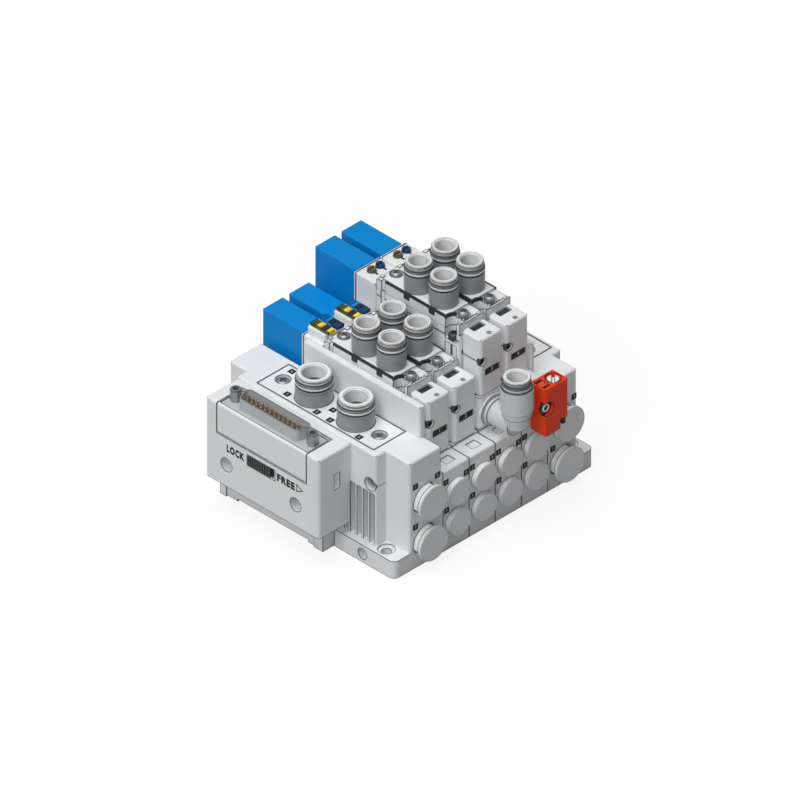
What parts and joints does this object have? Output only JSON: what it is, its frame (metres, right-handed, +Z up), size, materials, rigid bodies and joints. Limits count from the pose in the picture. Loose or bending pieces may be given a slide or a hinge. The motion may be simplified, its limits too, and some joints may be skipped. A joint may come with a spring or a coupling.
{
  "type": "valve manifold",
  "caption": "Valve manifold: four base-mounted solenoid valves with push-in fittings, two of them on spacers, between end blocks, with a turning multi-pole connector",
  "frame": {"origin": "the centre of the four mounting holes, in the plane that the base rests on", "axes": "+X along the stack of stations, from the connector end to the far end, which is the longest way through the part. +Y from the port face to the pilot valves at the back. +Z up, square to the mounting face and along the mounting holes."},
  "size_m": [0.139, 0.1263, 0.1077],
  "materials": {
    "moulded_grey": "fine moulded grain, light warm grey",
    "valve_grey": "fine moulded grain, light grey",
    "fitting_grey": "smooth moulded, mid grey",
    "plug_grey": "smooth moulded, grey",
    "ring_grey": "smooth moulded, pale grey",
    "pilot_blue": "satin moulded blue",
    "stop_orange": "moulded orange red",
    "signal_yellow": "moulded yellow",
    "button_olive": "moulded olive brown",
    "button_blue": "moulded dark blue",
    "clip_black": "moulded black, ribbed",
    "clip_steel": "blackened pressed steel",
    "seal_rubber": "moulded nitrile rubber",
    "steel": "zinc plated, turned",
    "tinned_shell": "tin plated, pressed",
    "insulator": "glass filled moulding",
    "gold": "gold plated, turned"
  },
  "bodies": {
    "base": {"d_end_block": "moulded_grey", "u_end_block": "moulded_grey", "manifold_block_1": "moulded_grey", "manifold_block_2": "moulded_grey", "manifold_block_3": "moulded_grey", "manifold_block_4": "moulded_grey", "connector_housing": "moulded_grey", "rail_bracket": "moulded_grey", "supply_port_plate": "moulded_grey", "blanking_plate": "moulded_grey", "supply_fittings": "fitting_grey", "valve_fittings": "fitting_grey", "port_sockets": "ring_grey", "blanking_plugs": "plug_grey", "tie_rods": "steel", "plate_screws": "steel", "housing_screws": "steel", "valve_screws": "steel", "cover_screws": "steel", "fitting_clips": "clip_steel", "valve_gaskets": "seal_rubber", "valve_body_1": "valve_grey", "valve_body_2": "valve_grey", "valve_body_3": "valve_grey", "valve_body_4": "valve_grey", "front_covers": "valve_grey", "port_blocks": "valve_grey", "override_housings": "valve_grey", "pilot_covers": "pilot_blue", "supply_spacer": "moulded_grey", "stop_valve_spacer": "moulded_grey", "stop_valve_cover": "stop_orange"},
    "connector_turner": {"connector_block": "moulded_grey", "dsub_shell": "tinned_shell", "dsub_insulator": "insulator", "dsub_pins": "gold", "jack_screws": "steel"},
    "lock": {"lock_slider": "clip_black"},
    "slide_1a": {"override_slide_1a": "signal_yellow"},
    "slide_1b": {"override_slide_1b": "pilot_blue"},
    "slide_2a": {"override_slide_2a": "signal_yellow"},
    "slide_2b": {"override_slide_2b": "pilot_blue"},
    "button_3a": {"override_button_3a": "button_olive"},
    "button_3b": {"override_button_3b": "button_blue"},
    "button_4a": {"override_button_4a": "button_olive"},
    "button_4b": {"override_button_4b": "button_blue"},
    "elbow": {"elbow_body": "ring_grey"},
    "elbow_release": {"elbow_bushing": "ring_grey"},
    "spindle": {"stop_spindle": "ring_grey"},
    "release_1a": {"release_bushing_1a": "ring_grey"},
    "release_1b": {"release_bushing_1b": "ring_grey"},
    "release_2a": {"release_bushing_2a": "ring_grey"},
    "release_2b": {"release_bushing_2b": "ring_grey"},
    "release_3a": {"release_bushing_3a": "ring_grey"},
    "release_3b": {"release_bushing_3b": "ring_grey"},
    "release_4a": {"release_bushing_4a": "ring_grey"},
    "release_4b": {"release_bushing_4b": "ring_grey"},
    "supply_release_a": {"supply_bushing_a": "ring_grey"},
    "supply_release_b": {"supply_bushing_b": "ring_grey"}
  },
  "joints": [
    {"name": "connector_turn", "type": "hinge", "parent": "base", "child": "connector_turner", "pos_m": [-0.06975, 0.00735, 0.0485], "axis": [0, -1, 0], "range_deg": [0, 90]},
    {"name": "lock_slide", "type": "slide", "parent": "base", "child": "lock", "axis": [0, -1, 0], "range_m": [0, 0.0034]},
    {"name": "override_slide_1a", "type": "slide", "parent": "base", "child": "slide_1a", "axis": [0, 1, 0], "range_m": [0, 0.003]},
    {"name": "override_slide_1b", "type": "slide", "parent": "base", "child": "slide_1b", "axis": [0, 1, 0], "range_m": [0, 0.003]},
    {"name": "override_slide_2a", "type": "slide", "parent": "base", "child": "slide_2a", "axis": [0, 1, 0], "range_m": [0, 0.003]},
    {"name": "override_slide_2b", "type": "slide", "parent": "base", "child": "slide_2b", "axis": [0, 1, 0], "range_m": [0, 0.003]},
    {"name": "override_button_3a", "type": "slide", "parent": "base", "child": "button_3a", "axis": [0, 0, -1], "range_m": [0, 0.0012], "stiffness_N_per_m": 500},
    {"name": "override_button_3b", "type": "slide", "parent": "base", "child": "button_3b", "axis": [0, 0, -1], "range_m": [0, 0.0012], "stiffness_N_per_m": 500},
    {"name": "override_button_4a", "type": "slide", "parent": "base", "child": "button_4a", "axis": [0, 0, -1], "range_m": [0, 0.0012], "stiffness_N_per_m": 500},
    {"name": "override_button_4b", "type": "slide", "parent": "base", "child": "button_4b", "axis": [0, 0, -1], "range_m": [0, 0.0012], "stiffness_N_per_m": 500},
    {"name": "release_1a", "type": "slide", "parent": "base", "child": "release_1a", "axis": [0, 0, -1], "range_m": [0, 0.0008], "stiffness_N_per_m": 400},
    {"name": "release_1b", "type": "slide", "parent": "base", "child": "release_1b", "axis": [0, 0, -1], "range_m": [0, 0.0008], "stiffness_N_per_m": 400},
    {"name": "release_2a", "type": "slide", "parent": "base", "child": "release_2a", "axis": [0, 0, -1], "range_m": [0, 0.0008], "stiffness_N_per_m": 400},
    {"name": "release_2b", "type": "slide", "parent": "base", "child": "release_2b", "axis": [0, 0, -1], "range_m": [0, 0.0008], "stiffness_N_per_m": 400},
    {"name": "release_3a", "type": "slide", "parent": "base", "child": "release_3a", "axis": [0, 0, -1], "range_m": [0, 0.0008], "stiffness_N_per_m": 400},
    {"name": "release_3b", "type": "slide", "parent": "base", "child": "release_3b", "axis": [0, 0, -1], "range_m": [0, 0.0008], "stiffness_N_per_m": 400},
    {"name": "release_4a", "type": "slide", "parent": "base", "child": "release_4a", "axis": [0, 0, -1], "range_m": [0, 0.0008], "stiffness_N_per_m": 400},
    {"name": "release_4b", "type": "slide", "parent": "base", "child": "release_4b", "axis": [0, 0, -1], "range_m": [0, 0.0008], "stiffness_N_per_m": 400},
    {"name": "supply_release_a", "type": "slide", "parent": "base", "child": "supply_release_a", "axis": [0, 0, -1], "range_m": [0, 0.0008], "stiffness_N_per_m": 500},
    {"name": "supply_release_b", "type": "slide", "parent": "base", "child": "supply_release_b", "axis": [0, 0, -1], "range_m": [0, 0.0008], "stiffness_N_per_m": 500},
    {"name": "elbow_turn", "type": "hinge", "parent": "base", "child": "elbow", "pos_m": [0.00875, -0.0555, 0.051], "axis": [0, 1, 0], "range_deg": [-90, 2]},
    {"name": "elbow_release", "type": "slide", "parent": "elbow", "child": "elbow_release", "axis": [0, 0, -1], "range_m": [0, 0.0008], "stiffness_N_per_m": 400},
    {"name": "stop_turn", "type": "hinge", "parent": "base", "child": "spindle", "pos_m": [0.02715, -0.0665, 0.063], "axis": [0, 0, 1], "range_deg": [0, 90]}
  ]
}
